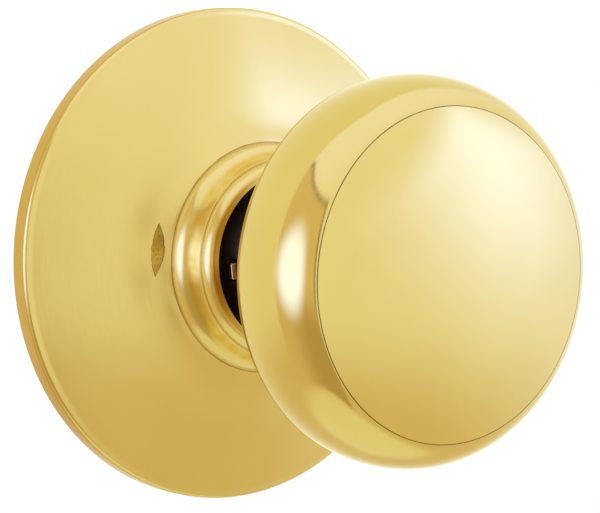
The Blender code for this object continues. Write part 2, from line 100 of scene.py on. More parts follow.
# Slot in the rose and the latch behind it
SLOT_RADIUS = 18.6
SLOT_HALF_LENGTH = 3.87
SLOT_HALF_WIDTH = 0.85
SLOT_TILT = math.radians(5.5)
SLOT_WEAR = 0.1
SLOT_CUT = (7.5, 5.5)  # where the cutter starts, and how far forward it reaches
LATCH_RADII = (17.4, 19.9)
LATCH_REAR = 6.5
LATCH_HALF_LENGTH = 3.4
LATCH_DEPTH = 0.6  # below the rose's inner face
NOSE_HALF_WIDTH = 0.8
NOSE_HALF_LENGTH = 3.78
NOSE_DEPTH = 0.08
NOSE_HEIGHT = 2.2

# Knob
KNOB_SHEET = 0.8
EQUATOR_FRONT = 44.95
CONE_START = (17.03, 29.4)
HEEL_START = (25.9, 39.97)
HEEL_END = (26.7, 41.67)
BACK_ANGLES = (180, 130)
HEEL_ANGLES = (130, 100.5)
BAND_ANGLES = (100.5, 90)
CAP_RADIUS = 22.75
CAP_EDGE_FRONT = 53.59
SHOULDER_HANDLES = (4.8, 2.1)
SEAM = 0.01
SEAM_DEPTH = 0.3
BACK = (15.34, 28.4)
NECK_RADIUS = 11.8
NECK_FILLET = 1.5
CAP_RIM_DEPTH = 2.6

# Sleeve
SLEEVE_BORE = 8.3
GROOVE = (9.7, 11.1)
GROOVE_RADIUS = 9.0
WINDOW_SIZE = 3.2
WINDOW_FRONTS = (16.0, 25.0)
WINDOW_REACH = (-12.0, -7.0)  # X of the cutter's two ends
CATCH_TILT = math.radians(-7.0)

# Mounting plate and spring cup
PLATE_BORE = 12.4
PLATE_SHEET = 1.5
PLATE_RELIEF = 0.1
PLATE_RIM = (1.1, 2.2)  # its thickness and its front
BEARING_RADIUS = 26.5
HOUSING_RADIUS = 19.6
HOUSING_SHEET = 0.9
FLANGE_FRONT = -0.3
FLANGE_REAR = -1.3
LID_BORE = 10.2
LID_THICKNESS = 1.0
LID_INSET = (0.15, 0.1)

# Bush and washer
RING_RADIUS = 12.1
SLEEVE_PLAY = 0.15
BUSH_REAR = -2.5
BUSH_FRONT = 8.6
COLLAR_RADIUS = 15.0
COLLAR_FRONTS = (1.8, 2.8)
WASHER_FRONTS = (8.9, 9.6)

# Rivets
RIVET_RADIUS = 2.6
RIVET_HOLE = 1.8
RIVET = [(0.0, 2.9), (1.5, 2.9), (RIVET_RADIUS, 2.1), (RIVET_RADIUS, 1.8), (1.5, 1.8), (1.5, -1.6),
         (2.4, -1.6), (2.1, -2.5), (0.0, -2.5)]
LEAF_RIVET = [(0.0, 3.5), (1.2, 3.5), (2.0, 3.15), (2.0, 2.75), (1.0, 2.75), (1.0, 0.1), (0.0, 0.1)]
LEAF_RIVET_HOLE = 1.3
LEAF_RIVET_RADIUS = 26.0
LEAF_RIVET_PLACE = (-LEAF_RIVET_RADIUS * math.cos(SLOT_TILT), LEAF_RIVET_RADIUS * math.sin(SLOT_TILT))

# Screws
SHANK_RADIUS = 2.05
SHANK_PLAY = 0.3
SCREW_HEAD = [(0.0, SCREW_FRONT), (2.2, SCREW_FRONT - 0.15), (3.4, SCREW_FRONT - 0.8), (3.9, 2.6),
              (3.9, 1.8), (SHANK_RADIUS, 1.8)]
NECK_END = (SHANK_RADIUS, 0.2)
THREAD_START = -1.0
THREAD_PITCH = 0.8
THREAD_DEPTH = 0.33
THREAD_ROWS = 8  # rings of points in each turn of thread
POINT_TAPER = 0.5
RECESS_REACH = 2.3
RECESS_HALF_WIDTH = 0.45
RECESS_DEPTHS = (-5.0, -2.9)  # Y of its open end and of its floor

# Springs
RETURN_TURNS = 4
RETURN_RADIUS = 12.8
RETURN_LEG_REACH = 17.9
RETURN_LEG_ANGLE = math.radians(11.0)
RETURN_FRONTS = (-4.0, -10.3)
RETURN_WIRE = 0.75
COIL_TURNS = 5
COIL_RADIUS = 1.6
COIL_ENDS = (-5.85, 7.5)
COIL_FRONT = 20.5
COIL_WIRE = 0.25


def arc(centre, radius, start, end, steps):
    """Points of an arc from start to end, in degrees counted from the radius axis."""
    angles = [math.radians(start + (end - start) * i / steps) for i in range(steps + 1)]
    return [(centre[0] + radius * math.cos(a), centre[1] + radius * math.sin(a)) for a in angles]


def bezier(start, start_handle, end_handle, end, steps):
    """Points of a cubic curve, without its first point."""
    points = []
    for i in range(1, steps + 1):
        t = i / steps
        weights = ((1 - t) ** 3, 3 * t * (1 - t) ** 2, 3 * t * t * (1 - t), t ** 3)
        knots = (start, start_handle, end_handle, end)
        points.append(tuple(sum(w * k[axis] for w, k in zip(weights, knots)) for axis in (0, 1)))
    return points


def sweep(start, end, angles, steps):
    """A smooth stretch of outline whose normal turns between two angles, without its first point."""
    reach = math.dist(start, end) / 3
    leave, arrive = ((-math.cos(math.radians(a)) * reach, math.sin(math.radians(a)) * reach) for a in angles)
    start_handle = (start[0] + leave[0], start[1] + leave[1])
    end_handle = (end[0] - arrive[0], end[1] - arrive[1])
    return bezier(start, start_handle, end_handle, end, steps)


def offset(points, distance):
    """The outline moved sideways by distance, to the left of its direction."""
    moved = []
    for i, point in enumerate(points):
        here = Vector(point)
        before = (here - Vector(points[i - 1])).normalized() if i else None
        after = (Vector(points[i + 1]) - here).normalized() if i + 1 < len(points) else None
        before, after = before or after, after or before
        along = (before + after).normalized()
        stretch = 1.0 / max(along.dot(before), 0.5)
        moved.append((here.x - along.y * distance * stretch, here.y + along.x * distance * stretch))
    return moved


def rounded(outline, radius, steps=4):
    """The outline with each corner turned into a small curve."""
    closed = outline[0][0] > 0
    soft = []
    count = len(outline)
    for i, point in enumerate(outline):
        if not closed and i in (0, count - 1):
            soft.append(point)
            continue
        here, before, after = Vector(point), Vector(outline[i - 1]), Vector(outline[(i + 1) % count])
        back = (before - here).normalized() * min(radius, (before - here).length / 2)
        on = (after - here).normalized() * min(radius, (after - here).length / 2)
        for k in range(steps + 1):
            t = k / steps
            soft.append(tuple(here + back * (1 - t) ** 2 + on * t ** 2))
    return soft


def dressed(made, body, node, materials):
    """Give a new piece its materials, its CAD node and its body."""
    for one in materials:
        made.data.materials.append(one)
    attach(made, body)
    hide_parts(node)
    return made


def new_object(name, bm):
    """A smooth-shaded object in metres from a bmesh in millimetres."""
    bmesh.ops.recalc_face_normals(bm, faces=bm.faces)
    bmesh.ops.scale(bm, vec=Vector((MM, MM, MM)), verts=bm.verts)
    mesh = bpy.data.meshes.new(name)
    bm.to_mesh(mesh)
    bm.free()
    mesh.shade_smooth()
    mesh.set_sharp_from_angle(angle=math.radians(35))
    made = bpy.data.objects.new(name, mesh)
    bpy.context.collection.objects.link(made)
    return made


def turned(name, outline, segments=MEDIUM, inner_from=None, centre=(0.0, 0.0)):
    """Turn an outline about an axis parallel to Y through centre (x, z).

    Stretches of the outline from inner_from on get the piece's second material.
    """
    bm = bmesh.new()
    rings = []
    for radius, front in outline:
        if radius == 0:
            rings.append([bm.verts.new((centre[0], -front, centre[1]))] * segments)
            continue
        angles = [math.tau * j / segments for j in range(segments)]
        round_about = [(centre[0] + radius * math.cos(a), centre[1] + radius * math.sin(a)) for a in angles]
        rings.append([bm.verts.new((x, -front, z)) for x, z in round_about])
    following = rings[1:] + (rings[:1] if outline[0][0] > 0 else [])
    for i, (one, other) in enumerate(zip(rings, following)):
        for j in range(segments):
            k = (j + 1) % segments
            face = bm.faces.new(list(dict.fromkeys((one[j], one[k], other[k], other[j]))))
            face.material_index = int(inner_from is not None and i >= inner_from)
    return new_object(name, bm)


def prism(name, outline, depth, direction):
    """An outline of points in space, extruded by depth along direction."""
    bm = bmesh.new()
    face = bm.faces.new([bm.verts.new(point) for point in outline])
    grown = bmesh.ops.extrude_face_region(bm, geom=[face])
    verts = [item for item in grown["geom"] if isinstance(item, bmesh.types.BMVert)]
    bmesh.ops.translate(bm, verts=verts, vec=Vector(direction) * depth)
    return new_object(name, bm)


def box_shape(name, lowest, highest, turn=0.0):
    """A box between two corners, turned about the knob's axis."""
    x0, y0, z0 = lowest
    x1, y1, z1 = highest
    made = prism(name, [(x0, y0, z0), (x1, y0, z0), (x1, y0, z1), (x0, y0, z1)], y1 - y0, (0, 1, 0))
    made.data.transform(Matrix.Rotation(turn, 4, "Y"))
    return made


def cut(made, cutters, sharp_angle=40, operation="DIFFERENCE"):
    """Cut the cutters out of a piece for good, or join them to it, and keep its edges crisp."""
    for cutter in cutters:
        step = made.modifiers.new("cut", "BOOLEAN")
        step.object = cutter
        step.operation = operation
        step.solver = "EXACT"
    evaluated = made.evaluated_get(bpy.context.evaluated_depsgraph_get())
    mesh = bpy.data.meshes.new_from_object(evaluated)
    made.modifiers.clear()
    made.data = mesh
    for cutter in cutters:
        bpy.data.objects.remove(cutter)
    mesh.set_sharp_from_angle(angle=math.radians(sharp_angle))
    return made


def hole(radius, centre, front=6.0, rear=-6.0, segments=64):
    """A round cutter along Y."""
    outline = [(0.0, front), (radius, front), (radius, rear), (0.0, rear)]
    return turned("hole", outline, segments, centre=centre)


def wire(name, points, radius):
    """A round wire along points in millimetres."""
    curve = bpy.data.curves.new(name, "CURVE")
    curve.dimensions = "3D"
    curve.bevel_depth = radius * MM
    curve.bevel_resolution = 4
    curve.use_fill_caps = True
    spline = curve.splines.new("POLY")
    spline.points.add(len(points) - 1)
    for knot, point in zip(spline.points, points):
        knot.co = (*(Vector(point) * MM), 1.0)
    spline.use_smooth = True
    made = bpy.data.objects.new(name, curve)
    bpy.context.collection.objects.link(made)
    return made


# ---------------------------------------------------------------- materials

class Nodes:
    """A small helper that adds nodes to a tree and links them."""

    def __init__(self, tree):
        self.tree = tree

    def add(self, kind, inputs=None, **settings):
        node = self.tree.nodes.new(kind)
        for key, value in settings.items():
            setattr(node, key, value)
        for key, value in (inputs or {}).items():
            if isinstance(value, bpy.types.NodeSocket):
                self.tree.links.new(value, node.inputs[key])
            else:
                node.inputs[key].default_value = value
        return node

    def math(self, operation, a, b=0.0):
        return self.add("ShaderNodeMath", {0: a, 1: b}, operation=operation).outputs[0]

    def noise(self, vector, scale, detail=2.0, roughness=0.5):
        inputs = {"Vector": vector, "Scale": scale, "Detail": detail, "Roughness": roughness}
        return self.add("ShaderNodeTexNoise", inputs).outputs["Fac"]

    def ramp(self, value, low_in, high_in, low_out, high_out, interpolation="SMOOTHSTEP"):
        inputs = {"Value": value, 1: low_in, 2: high_in, 3: low_out, 4: high_out}
        return self.add("ShaderNodeMapRange", inputs, interpolation_type=interpolation).outputs[0]

    def mix(self, factor, a, b):
        return self.add("ShaderNodeMix", {0: factor, 6: a, 7: b}, data_type="RGBA").outputs[2]


def new_material(name, metallic=1.0):
    """A material with its node helper, its shader and the object's own coordinates."""
    made = bpy.data.materials.new(name)
    made.use_nodes = True
    nodes = Nodes(made.node_tree)
    shader = made.node_tree.nodes["Principled BSDF"]
    shader.inputs["Metallic"].default_value = metallic
    place = nodes.add("ShaderNodeTexCoord").outputs["Object"]
    return made, nodes, shader, place


def spun_place(nodes, place, lines_per_mm, along_angle):
    """Coordinates in which noise becomes rings round the knob's axis, as turning and buffing leave them."""
    parts = nodes.add("ShaderNodeSeparateXYZ", {0: place}).outputs
    angle = nodes.math("ARCTAN2", parts["Z"], parts["X"])
    squares = nodes.math("ADD", nodes.math("MULTIPLY", parts["X"], parts["X"]),
                         nodes.math("MULTIPLY", parts["Z"], parts["Z"]))
    radius = nodes.math("SQRT", squares)
    scale = lines_per_mm / MM
    inputs = {0: nodes.math("MULTIPLY", radius, scale), 1: nodes.math("MULTIPLY", angle, along_angle),
              2: nodes.math("MULTIPLY", parts["Y"], scale)}
    return nodes.add("ShaderNodeCombineXYZ", inputs).outputs[0], radius, parts["Y"]


def finish_metal(nodes, shader, colour, roughness, height, strength, distance):
    """Link a metal's colour and roughness, and its height by way of a bump."""
    nodes.tree.links.new(colour, shader.inputs["Base Color"])
    nodes.tree.links.new(roughness, shader.inputs["Roughness"])
    bump = nodes.add("ShaderNodeBump", {"Strength": strength, "Distance": distance, "Height": height})
    nodes.tree.links.new(bump.outputs[0], shader.inputs["Normal"])


BRASS = (0.71, 0.52, 0.17, 1.0)
BRASS_DEEP = (0.66, 0.455, 0.13, 1.0)
# painted shade: brown brass for the collar's lip, where it reflects the knob's back, and the deeper tone of
# the rose's outer edge
SHADE_BRASS = (0.52, 0.29, 0.028, 1.0)
# painted shade: brass for the rose's outermost edge, darker than its face
EDGE_SHADE_BRASS = (0.60, 0.35, 0.075, 1.0)
# painted shade and painted reflection: deep gold that darkens the collar's cove in place of its highlight
COVE_SHADE_BRASS = (0.62, 0.37, 0.035, 1.0)
# painted shade: the dark brown line along the crease at the collar's foot
CREASE_SHADE = (0.24, 0.11, 0.015, 1.0)


def polished_brass(name, gloss, shade_bands=(), light=BRASS, deep=BRASS_DEEP):
    """Buffed and lacquered brass of a certain roughness.

    The rings of deeper colour are painted shade and painted reflection where the collar's crease, cove
    and lip lie in shadow, given as (radius, front, half width, strength, colour).
    """
    made, nodes, shader, place = new_material(name)
    spun, radius, depth = spun_place(nodes, place, 6.0, 3.0)
    rings = nodes.noise(spun, 1.0, 2.0)
    cloud = nodes.noise(place, 60.0, 3.0)
    grain = nodes.noise(place, 5200.0, 1.0)
    colour = nodes.mix(nodes.ramp(cloud, 0.3, 0.7, 0.0, 0.35), light, deep)
    uneven = nodes.ramp(nodes.noise(place, 500.0, 3.0), 0.35, 0.65, 0.6, 1.0)
    # Each ring mixes a darker brass into the colour near it: painted shade and painted reflection.
    for ring_radius, ring_front, width, strength, shade_colour in shade_bands:
        across = nodes.math("SUBTRACT", radius, ring_radius * MM)
        along = nodes.math("ADD", depth, ring_front * MM)
        away = nodes.math("SQRT", nodes.math("ADD", nodes.math("MULTIPLY", across, across),
                                             nodes.math("MULTIPLY", along, along)))
        near = nodes.math("MULTIPLY", nodes.ramp(away, 0.3 * width * MM, width * MM, strength, 0.0), uneven)
        colour = nodes.mix(near, colour, shade_colour)
    fine = nodes.ramp(rings, 0.3, 0.7, 0.0, 0.035)
    satin = nodes.ramp(grain, 0.3, 0.7, gloss - 0.02, gloss + 0.02)
    height = nodes.math("ADD", nodes.math("MULTIPLY", rings, 0.3), nodes.math("MULTIPLY", grain, 0.7))
    finish_metal(nodes, shader, colour, nodes.math("ADD", fine, satin), height, 0.05, 0.00002)
    shader.inputs["Coat Weight"].default_value = 0.15
    shader.inputs["Coat Roughness"].default_value = 0.05
    return made


def dull_metal(name, light, dark, roughness, scale=900.0, bump=0.25, pits=0.0, metallic=1.0):
    """Unpolished metal with a mottled colour, uneven gloss, a fine rolled or cast grain and dark pits."""
    made, nodes, shader, place = new_material(name, metallic)
    mottle = nodes.noise(place, scale / 6, 4.0, 0.6)
    grain = nodes.noise(place, scale * 3, 3.0, 0.6)
    colour = nodes.mix(nodes.ramp(mottle, 0.3, 0.7, 0.0, 1.0), light, dark)
    if pits:
        speck = nodes.ramp(nodes.noise(place, scale * 2, 1.0), 0.62, 0.72, 0.0, pits)
        colour = nodes.mix(speck, colour, tuple(c * 0.35 for c in dark[:3]) + (1.0,))
    gloss = nodes.math("ADD", nodes.ramp(mottle, 0.3, 0.7, roughness - 0.07, roughness + 0.07),
                       nodes.ramp(grain, 0.3, 0.7, -0.03, 0.03))
    height = nodes.math("ADD", grain, nodes.math("MULTIPLY", mottle, 0.5))
    finish_metal(nodes, shader, colour, gloss, height, bump, 0.00003)
    return made


def turned_metal(name, light, dark, roughness, lines_per_mm=8.0, metallic=1.0):
    """Lathe-turned or rolled sheet metal with rings of fine lines and a mottled plating."""
    made, nodes, shader, place = new_material(name, metallic)
    spun, _, _ = spun_place(nodes, place, lines_per_mm, 1.5)
    rings = nodes.noise(spun, 1.0, 3.0)
    mottle = nodes.noise(place, 220.0, 4.0, 0.6)
    colour = nodes.mix(nodes.ramp(mottle, 0.35, 0.65, 0.0, 1.0), light, dark)
    gloss = nodes.math("ADD", nodes.ramp(rings, 0.3, 0.7, roughness - 0.06, roughness + 0.06),
                       nodes.ramp(mottle, 0.3, 0.7, -0.05, 0.05))
    finish_metal(nodes, shader, colour, gloss, rings, 0.3, 0.00002)
    return made


ZINC_LIGHT = (0.55, 0.53, 0.51, 1.0)
ZINC_DARK = (0.45, 0.43, 0.415, 1.0)
PLATED = 0.55  # how metallic a plated or cast surface is
# Rings of painted shade and painted reflection on the collar: dark brown along the crease, deep gold in the
# cove, brown at the lip.
ROSE_SHADE_BANDS = [
    (*CREASE, 0.18, 0.7, CREASE_SHADE),
    (14.95, 13.75, 1.3, 0.95, COVE_SHADE_BRASS),
    (13.25, 16.42, 0.5, 0.2, SHADE_BRASS),
]
MATERIALS = {
    "rose": polished_brass("rose_brass", 0.19, ROSE_SHADE_BANDS),
    "rim": polished_brass("rim_shade_brass", 0.2, (), EDGE_SHADE_BRASS, SHADE_BRASS),
    "knob": polished_brass("knob_brass", 0.09),
    "raw_brass": dull_metal("raw_brass", (0.30, 0.20, 0.07, 1), (0.16, 0.10, 0.035, 1), 0.5),
    "rolled_brass": dull_metal("rolled_brass", (0.62, 0.39, 0.07, 1), (0.40, 0.22, 0.03, 1), 0.42,
                               scale=1500.0, bump=0.6, pits=0.5),
    "catch_brass": dull_metal("catch_brass", (0.95, 0.60, 0.24, 1), (0.85, 0.48, 0.15, 1), 0.3, bump=0.2),
    # the steel's own dark tone, warmed brown as painted reflection of the brass light in the dim gap behind
    # the knob
    "dark_steel": turned_metal("dark_steel", (0.50, 0.39, 0.29, 1), (0.42, 0.31, 0.22, 1), 0.5),
    "zinc_plated_steel": turned_metal("zinc_plated_steel", ZINC_LIGHT, ZINC_DARK, 0.30, metallic=PLATED),
    "zinc_flat": dull_metal("zinc_flat", ZINC_LIGHT, ZINC_DARK, 0.32, scale=700.0, metallic=PLATED),
    "spring_steel": dull_metal("spring_steel", (0.22, 0.21, 0.20, 1), (0.12, 0.11, 0.10, 1), 0.34,
                               scale=1200.0, bump=0.2),
    "oiled_steel": dull_metal("oiled_steel", (0.075, 0.05, 0.02, 1), (0.04, 0.025, 0.012, 1), 0.5,
                              scale=1200.0, bump=0.2),
    "cast_zinc": dull_metal("cast_zinc", (0.41, 0.40, 0.39, 1), (0.30, 0.29, 0.28, 1), 0.5,
                            scale=1000.0, bump=0.6, pits=0.4, metallic=PLATED),
    "sintered_bronze": dull_metal("sintered_bronze", (0.38, 0.24, 0.12, 1), (0.24, 0.15, 0.07, 1), 0.5,
                                  scale=1600.0, bump=0.6, pits=0.7),
}


# ---------------------------------------------------------------- rose and knob

def face_front(radius):
    """Front of the rose's face at a radius: a crowned cone with a slight flare near the collar."""
    outer = ROSE_RADIUS - RIM_ROUND
    share = (outer - radius) / (outer - CREASE[0])
    crowned = RIM_FRONT + (CREASE[1] - RIM_FRONT) * share + FACE_CROWN * share * (1 - share)
    beyond = max(0.0, radius - CREASE[0]) / FLARE_REACH
    return crowned - FLARE * beyond * beyond * math.exp(2 - 2 * beyond)


def ragged_lens(half_width, half_length, front):
    """Points of a slim pointed oval with a worn edge, standing over the slot's place before it is tilted."""
    draw = random.Random(7)
    steps = 40
    outline = []
    for side in (1, -1):
        for i in range(steps):
            share = 2 * i / steps - 1
            worn = draw.uniform(-SLOT_WEAR, SLOT_WEAR) * (1 - abs(share))
            across = side * (half_width * (1 - share * share) + worn)
            outline.append((-SLOT_RADIUS + across, -front(SLOT_RADIUS - across), half_length * share * side))
    return outline


def make_rose():
    """The dished rose with its rim, two-bead collar and slot."""
    rim = [(ROSE_RADIUS, 0.0), (ROSE_RADIUS, 0.8)]
    rim += arc((ROSE_RADIUS - RIM_ROUND, RIM_FRONT - RIM_ROUND), RIM_ROUND, 0, 66, 12)
    steps = 48
    start = rim[-1][0]
    radii = [start + (CREASE[0] - start) * i / steps for i in range(1, steps)]
    face = [(radius, face_front(radius)) for radius in radii] + [CREASE]
    bead = sweep(CREASE, BEAD_END, BEAD_ANGLES, 16)
    cove = sweep(BEAD_END, COVE_END, COVE_ANGLES, 10)
    roll = sweep(COVE_END, ROLL_END, ROLL_ANGLES, 12)
    skin = rim + face + bead + cove + roll + sweep(ROLL_END, LIP, LIP_ANGLES, 6)
    outline = skin + offset(skin, ROSE_SHEET)[::-1]
    made = turned("rose_visual", outline, FINE, inner_from=len(skin))
    # The outermost ring takes the rim material, whose darker brass is painted shade along the edge.
    for polygon in made.data.polygons:
        if math.hypot(polygon.center.x, polygon.center.z) > (ROSE_RADIUS - RIM_EDGE) * MM:
            polygon.material_index = 2
    front, depth = SLOT_CUT
    slot = prism("slot", ragged_lens(SLOT_HALF_WIDTH, SLOT_HALF_LENGTH, lambda radius: front), depth,
                 (0, -1, 0))
    slot.data.transform(Matrix.Rotation(SLOT_TILT, 4, "Y"))
    dressed(made, "fixed_half", "rose", [MATERIALS["rose"], MATERIALS["raw_brass"], MATERIALS["rim"]])
    return cut(made, [slot])


def make_rose_catch():
    """The latch behind the slot, whose nose fills it just under the rose's face."""
    behind = ROSE_SHEET + LATCH_DEPTH
    near, far = LATCH_RADII
    block = [(-near, -LATCH_REAR, -LATCH_HALF_LENGTH), (-far, -LATCH_REAR, -LATCH_HALF_LENGTH),
             (-far, behind - face_front(far), -LATCH_HALF_LENGTH),
             (-near, behind - face_front(near), -LATCH_HALF_LENGTH)]
    made = prism("rose_catch_visual", block, 2 * LATCH_HALF_LENGTH, (0, 0, 1))
    top = ragged_lens(NOSE_HALF_WIDTH, NOSE_HALF_LENGTH, lambda radius: face_front(radius) - NOSE_DEPTH)
    nose = prism("nose", top, NOSE_HEIGHT, (0, 1, 0))
    dressed(made, "rose_release", "rose_catch", [MATERIALS["rolled_brass"]])
    cut(made, [nose], operation="UNION")
    made.data.transform(Matrix.Rotation(SLOT_TILT, 4, "Y"))
    return made


def make_knob():
    """The knob's back shell with its neck, cone, heel and shoulder, and the domed cap set into it."""
    neck = [(NECK_RADIUS, NECK_FRONT)]
    neck += [(NECK_RADIUS + NECK_FILLET - a, b)
             for a, b in arc((0.0, BACK[1] - NECK_FILLET), NECK_FILLET, 0, 90, 16)]
    equator = (KNOB_RADIUS, EQUATOR_FRONT)
    back = [BACK] + sweep(BACK, CONE_START, BACK_ANGLES, 16)
    steps = 12
    back += [(CONE_START[0] + (HEEL_START[0] - CONE_START[0]) * i / steps,
              CONE_START[1] + (HEEL_START[1] - CONE_START[1]) * i / steps) for i in range(1, steps + 1)]
    back += sweep(HEEL_START, HEEL_END, HEEL_ANGLES, 24) + sweep(HEEL_END, equator, BAND_ANGLES, 16)
    sag = NOSE_FRONT - CAP_EDGE_FRONT
    dome_radius = (CAP_RADIUS ** 2 + sag ** 2) / (2 * sag)
    slope = math.asin(CAP_RADIUS / dome_radius)
    edge = (CAP_RADIUS, CAP_EDGE_FRONT)
    leave, arrive = SHOULDER_HANDLES
    handle = (CAP_RADIUS + arrive * math.cos(slope), CAP_EDGE_FRONT - arrive * math.sin(slope))
    shoulder = bezier(equator, (KNOB_RADIUS, EQUATOR_FRONT + leave), handle, edge, 48)
    skin = neck + back + shoulder[:-1]
    lip = [(edge[0] + SEAM, edge[1] - SEAM), (edge[0] + SEAM, edge[1] - SEAM_DEPTH)]
    outline = skin + lip + offset(skin, KNOB_SHEET)[::-1]
    shell = turned("knob_back_shell_visual", outline, FINE, inner_from=len(skin) - 1)
    dressed(shell, "knob", "knob_back_shell", [MATERIALS["knob"], MATERIALS["raw_brass"]])

    reach = slope * (CAP_RADIUS - SEAM) / CAP_RADIUS
    centre = NOSE_FRONT - dome_radius
    steps = 48
    dome = [(dome_radius * math.sin(reach * i / steps), centre + dome_radius * math.cos(reach * i / steps))
            for i in range(steps + 1)]
    rim = dome[-1]
    roll = [(rim[0], rim[1] - SEAM_DEPTH), (rim[0] - 0.35, rim[1] - 0.8),
            (rim[0] - 0.7, rim[1] - CAP_RIM_DEPTH)]
    inner = [(rim[0] - 1.4, rim[1] - CAP_RIM_DEPTH)]
    inside = [(radius * 0.94, front - KNOB_SHEET) for radius, front in dome[::-4]]
    if inside[-1][0] > 0:
        inside.append((0.0, NOSE_FRONT - KNOB_SHEET))
    outline = dome + roll + inner + inside
    cap = turned("knob_front_cap_visual", outline, FINE, inner_from=len(dome) - 1)
    dressed(cap, "knob", "knob_front_cap", [MATERIALS["knob"], MATERIALS["raw_brass"]])


def make_sleeve():
    """The spindle sleeve with its ring groove and the two windows for the knob catch."""
    outline = [(SLEEVE_RADIUS, SLEEVE_REAR), (SLEEVE_RADIUS, GROOVE[0]), (GROOVE_RADIUS, GROOVE[0]),
               (GROOVE_RADIUS, GROOVE[1]), (SLEEVE_RADIUS, GROOVE[1]), (SLEEVE_RADIUS, SLEEVE_FRONT),
               (SLEEVE_BORE, SLEEVE_FRONT), (SLEEVE_BORE, SLEEVE_REAR)]
    made = turned("spindle_sleeve_visual", rounded(outline, 0.12), MEDIUM)
    half = WINDOW_SIZE / 2
    far, near = WINDOW_REACH
    windows = [box_shape("window", (far, -front - half, -half), (near, -front + half, half), CATCH_TILT)
               for front in WINDOW_FRONTS]
    dressed(made, "knob", "spindle_sleeve", [MATERIALS["dark_steel"]])
    return cut(made, windows)


# ---------------------------------------------------------------- plate, housing and fasteners

def make_plate():
    """The mounting plate with its rim and the holes for screws and rivets."""
    rim_sheet, rim_front = PLATE_RIM
    rim_inside = PLATE_RADIUS - rim_sheet
    outline = [(PLATE_BORE, PLATE_RELIEF), (BEARING_RADIUS, PLATE_RELIEF), (BEARING_RADIUS, 0.0),
               (PLATE_RADIUS, 0.0), (PLATE_RADIUS, rim_front), (rim_inside, rim_front),
               (rim_inside, PLATE_SHEET), (PLATE_BORE, PLATE_SHEET)]
    made = turned("mounting_plate_visual", rounded(outline, 0.25), FINE)
    dressed(made, "fixed_half", "mounting_plate", [MATERIALS["zinc_plated_steel"]])
    return cut(made, fastener_holes() + [hole(LEAF_RIVET_HOLE, LEAF_RIVET_PLACE)])


def rivet_places():
    """Centres (x, z) of the two housing rivets."""
    places = []
    for node in ("housing_rivet_right", "housing_rivet_left"):
        places.append(((low(node, 0) + high(node, 0)) / 2, (low(node, 2) + high(node, 2)) / 2))
    return places


def fastener_holes():
    """Cutters for the holes that the screws and the housing rivets pass through."""
    cutters = [hole(SHANK_RADIUS + SHANK_PLAY, (0, z)) for z in (SCREW_OFFSET, -SCREW_OFFSET)]
    return cutters + [hole(RIVET_HOLE, place) for place in rivet_places()]


def make_housing():
    """The cup behind the plate that holds the return spring, and the lid that closes it."""
    inside = HOUSING_RADIUS - HOUSING_SHEET
    outline = [(inside, FLANGE_FRONT), (HOUSING_FLANGE, FLANGE_FRONT), (HOUSING_FLANGE, FLANGE_REAR),
               (HOUSING_RADIUS, FLANGE_REAR), (HOUSING_RADIUS, HOUSING_REAR), (inside, HOUSING_REAR)]
    made = turned("spring_housing_visual", rounded(outline, 0.3), FINE)
    dressed(made, "fixed_half", "spring_housing", [MATERIALS["zinc_plated_steel"]])
    cut(made, fastener_holes())
    outer, inner_face = inside - LID_INSET[0], HOUSING_REAR + LID_INSET[1]
    rear = HOUSING_REAR + LID_THICKNESS
    outline = [(LID_BORE, rear), (outer, rear), (outer, inner_face), (LID_BORE, inner_face)]
    lid = turned("housing_cap_visual", rounded(outline, 0.2), MEDIUM)
    dressed(lid, "fixed_half", "housing_cap", [MATERIALS["zinc_plated_steel"]])


def make_bronze_rings():
    """The bush that the sleeve turns in, and the thrust washer in front of it."""
    inner = SLEEVE_RADIUS + SLEEVE_PLAY
    rear, front = COLLAR_FRONTS
    bush = [(inner, BUSH_REAR), (RING_RADIUS, BUSH_REAR), (RING_RADIUS, rear), (COLLAR_RADIUS, rear),
            (COLLAR_RADIUS, front), (RING_RADIUS, front), (RING_RADIUS, BUSH_FRONT), (inner, BUSH_FRONT)]
    made = turned("bearing_bush_visual", rounded(bush, 0.2), MEDIUM)
    dressed(made, "fixed_half", "bearing_bush", [MATERIALS["sintered_bronze"]])
    rear, front = WASHER_FRONTS
    washer = [(inner, rear), (RING_RADIUS, rear), (RING_RADIUS, front), (inner, front)]
    made = turned("thrust_washer_visual", rounded(washer, 0.15), MEDIUM)
    dressed(made, "knob", "thrust_washer", [MATERIALS["sintered_bronze"]])


def make_rivets():
    """The two rivets that hold the spring cup, and the small one that holds the rose catch's leaf."""
    for node, place in zip(("housing_rivet_right", "housing_rivet_left"), rivet_places()):
        made = turned(node + "_visual", rounded(RIVET, 0.35), 48, centre=place)
        dressed(made, "fixed_half", node, [MATERIALS["zinc_flat"]])
    made = turned("catch_spring_rivet_visual", rounded(LEAF_RIVET, 0.2), 48, centre=LEAF_RIVET_PLACE)
    dressed(made, "fixed_half", "catch_spring_rivet", [MATERIALS["zinc_flat"]])


